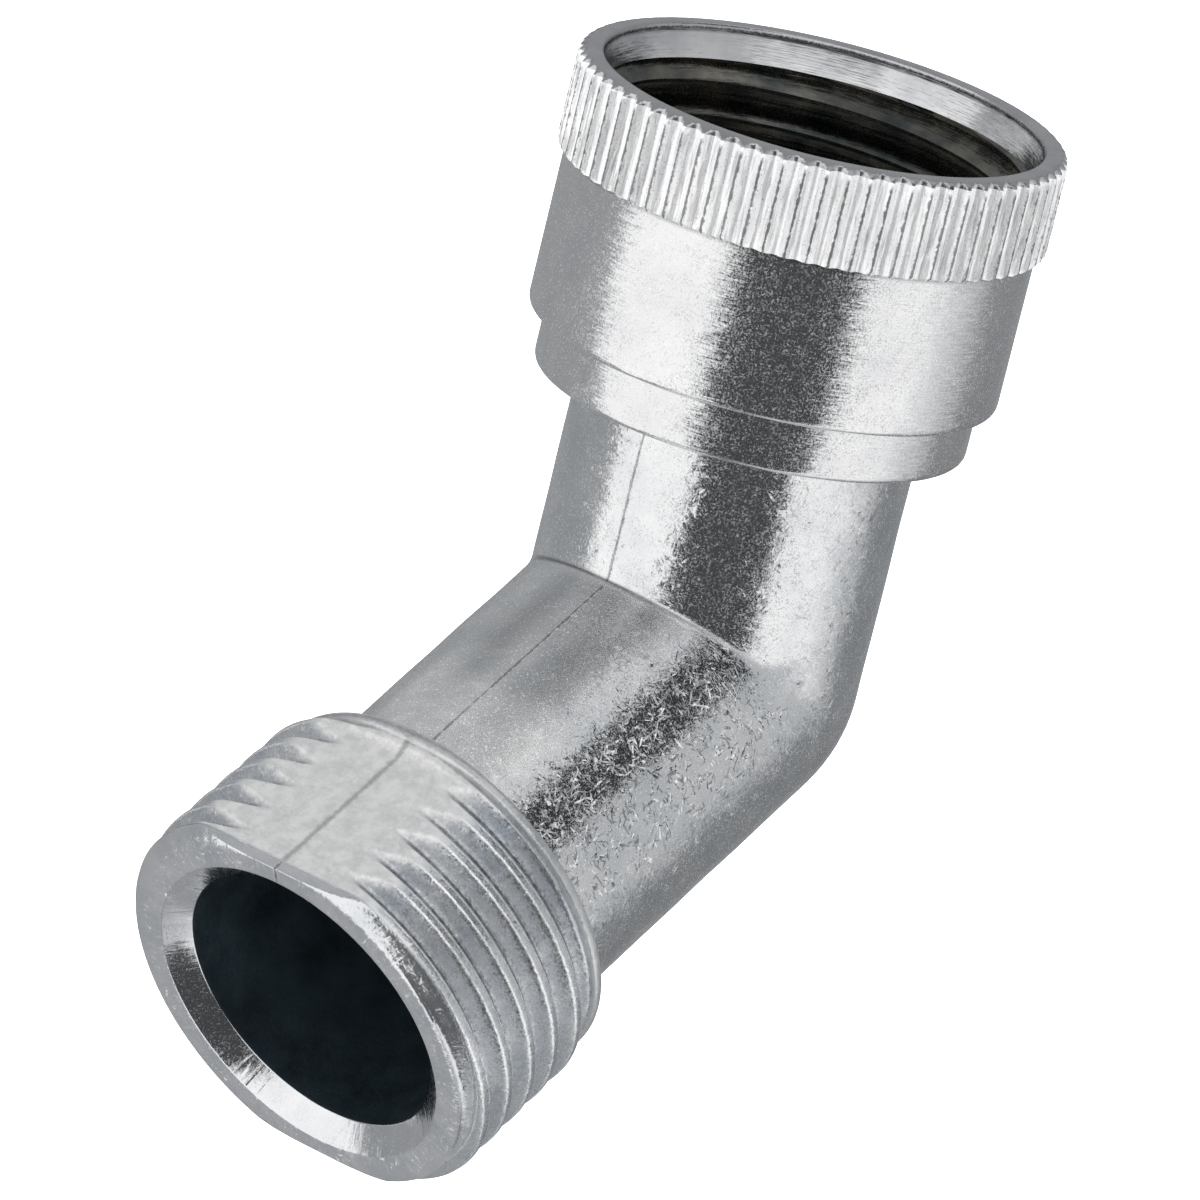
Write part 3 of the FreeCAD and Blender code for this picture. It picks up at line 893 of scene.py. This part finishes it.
def studio_surround():
    """A soft grey surround with bright and dark cards, which the metal mirrors."""
    world = bpy.data.worlds.new("studio")
    bpy.context.scene.world = world
    world.use_nodes = True
    nodes = Nodes(world.node_tree)
    direction = nodes.add("ShaderNodeTexCoord").outputs["Generated"]
    parts = nodes.add("ShaderNodeSeparateXYZ", {0: direction})
    x, y, z = parts.outputs
    azimuth = nodes.math("ARCTAN2", x, nodes.math("MULTIPLY", y, -1.0))
    azimuth = nodes.math("MULTIPLY", azimuth, 180 / math.pi)
    elevation = nodes.math("MULTIPLY", nodes.math("ARCSINE", z), 180 / math.pi)
    level = 0.335
    cards = [
        # azimuth, elevation, half width, half height and softness in degrees, and brightness
        (-108, 42, 55, 34, 30, 0.38),
        (105, 67, 60, 15, 6, 0.68),
        (170, -35, 24, 22, 16, 0.22),
        (86, -32, 43, 36, 40, 1.00),
        (116, 14, 26, 20, 14, 0.55),
        (30, 28, 45, 18, 8, 1.00),
        (40, -30, 31.5, 34, 7, 0.065),
        (-22, -15, 30.5, 50, 5, 1.05),
        (106, 43, 26, 15, 3, 0.035),
    ]
    for card_azimuth, card_elevation, half_width, half_height, softness, brightness in cards:
        turn = nodes.math("WRAP", nodes.math("SUBTRACT", azimuth, card_azimuth), 180.0, -180.0)
        edge = softness / 2
        across = nodes.remap(nodes.math("ABSOLUTE", turn), half_width - edge, half_width + edge, 1, 0)
        rise = nodes.math("ABSOLUTE", nodes.math("SUBTRACT", elevation, card_elevation))
        up = nodes.remap(rise, half_height - edge, half_height + edge, 1, 0)
        share = nodes.math("MULTIPLY", across, up)
        level = nodes.add("ShaderNodeMix", {0: share, 2: level, 3: brightness}).outputs[0]
    tint = nodes.mix_colour(level, (0.91, 0.955, 1.0, 1), (1, 1, 1, 1))
    background = nodes.add("ShaderNodeBackground", {"Color": tint, "Strength": level})
    output = nodes.add("ShaderNodeOutputWorld")
    nodes.tree.links.new(background.outputs[0], output.inputs["Surface"])


FLOOR_DROP = 30.0


def pale_floor():
    """A wide pale floor a little below the part, kept out of the metal's reflections."""
    half = 3.0
    height = cad_box[0].z - FLOOR_DROP * MM
    corners = [(x * half, y * half, height) for x, y in ((-1, -1), (1, -1), (1, 1), (-1, 1))]
    mesh = bpy.data.meshes.new("floor")
    mesh.from_pydata(corners, [], [(0, 1, 2, 3)])
    floor = bpy.data.objects.new("floor", mesh)
    bpy.context.scene.collection.objects.link(floor)
    material = bpy.data.materials.new("floor_paint")
    material.use_nodes = True
    nodes = Nodes(material.node_tree)
    coords = nodes.add("ShaderNodeTexCoord").outputs["Object"]
    cloud = nodes.noise(coords, 3.0, 2.0)
    colour = nodes.mix_colour(cloud, (0.93, 0.93, 0.93, 1), (0.95, 0.95, 0.95, 1))
    shader = nodes.add("ShaderNodeBsdfPrincipled", {"Base Color": colour, "Roughness": 0.9,
                                                    "Specular IOR Level": 0.0})
    output = nodes.add("ShaderNodeOutputMaterial")
    nodes.tree.links.new(shader.outputs[0], output.inputs["Surface"])
    mesh.materials.append(material)
    floor.visible_glossy = False


def overhead_light():
    """A broad soft light that brightens the floor without showing in the metal."""
    lamp = bpy.data.lights.new("overhead", "AREA")
    lamp.shape = "DISK"
    lamp.size = 3.0
    lamp.energy = 130
    light = bpy.data.objects.new("overhead", lamp)
    light.location = (0, 0, 2.0)
    light.visible_glossy = False
    bpy.context.scene.collection.objects.link(light)


def photo_camera():
    """A long lens, a little above the part and rolled, so the nut's axis leans to the right."""
    azimuth, elevation, roll = math.radians(32.817), math.radians(17.379), math.radians(13.766)
    distance, across, above = 632.97 * MM, -5.38 * MM, 3.30 * MM
    back = Vector((math.sin(azimuth) * math.cos(elevation), -math.cos(azimuth) * math.cos(elevation),
                   math.sin(elevation)))
    right = Vector((math.cos(azimuth), math.sin(azimuth), 0))
    up = back.cross(right)
    right, up = (right * math.cos(roll) + up * math.sin(roll), up * math.cos(roll) - right * math.sin(roll))
    lens = bpy.data.cameras.new("camera")
    lens.sensor_width = 36
    lens.lens = 309.35
    lens.clip_start, lens.clip_end = 0.01, 20
    camera = bpy.data.objects.new("camera", lens)
    target = Vector((0, 0, -36.24 * MM))
    place = target + back * distance + right * across + up * above
    camera.matrix_world = Matrix.Translation(place) @ Matrix((right, up, back)).transposed().to_4x4()
    bpy.context.scene.collection.objects.link(camera)
    bpy.context.scene.camera = camera


studio_surround()
pale_floor()
overhead_light()
photo_camera()
bpy.context.scene.view_settings.view_transform = "Standard"
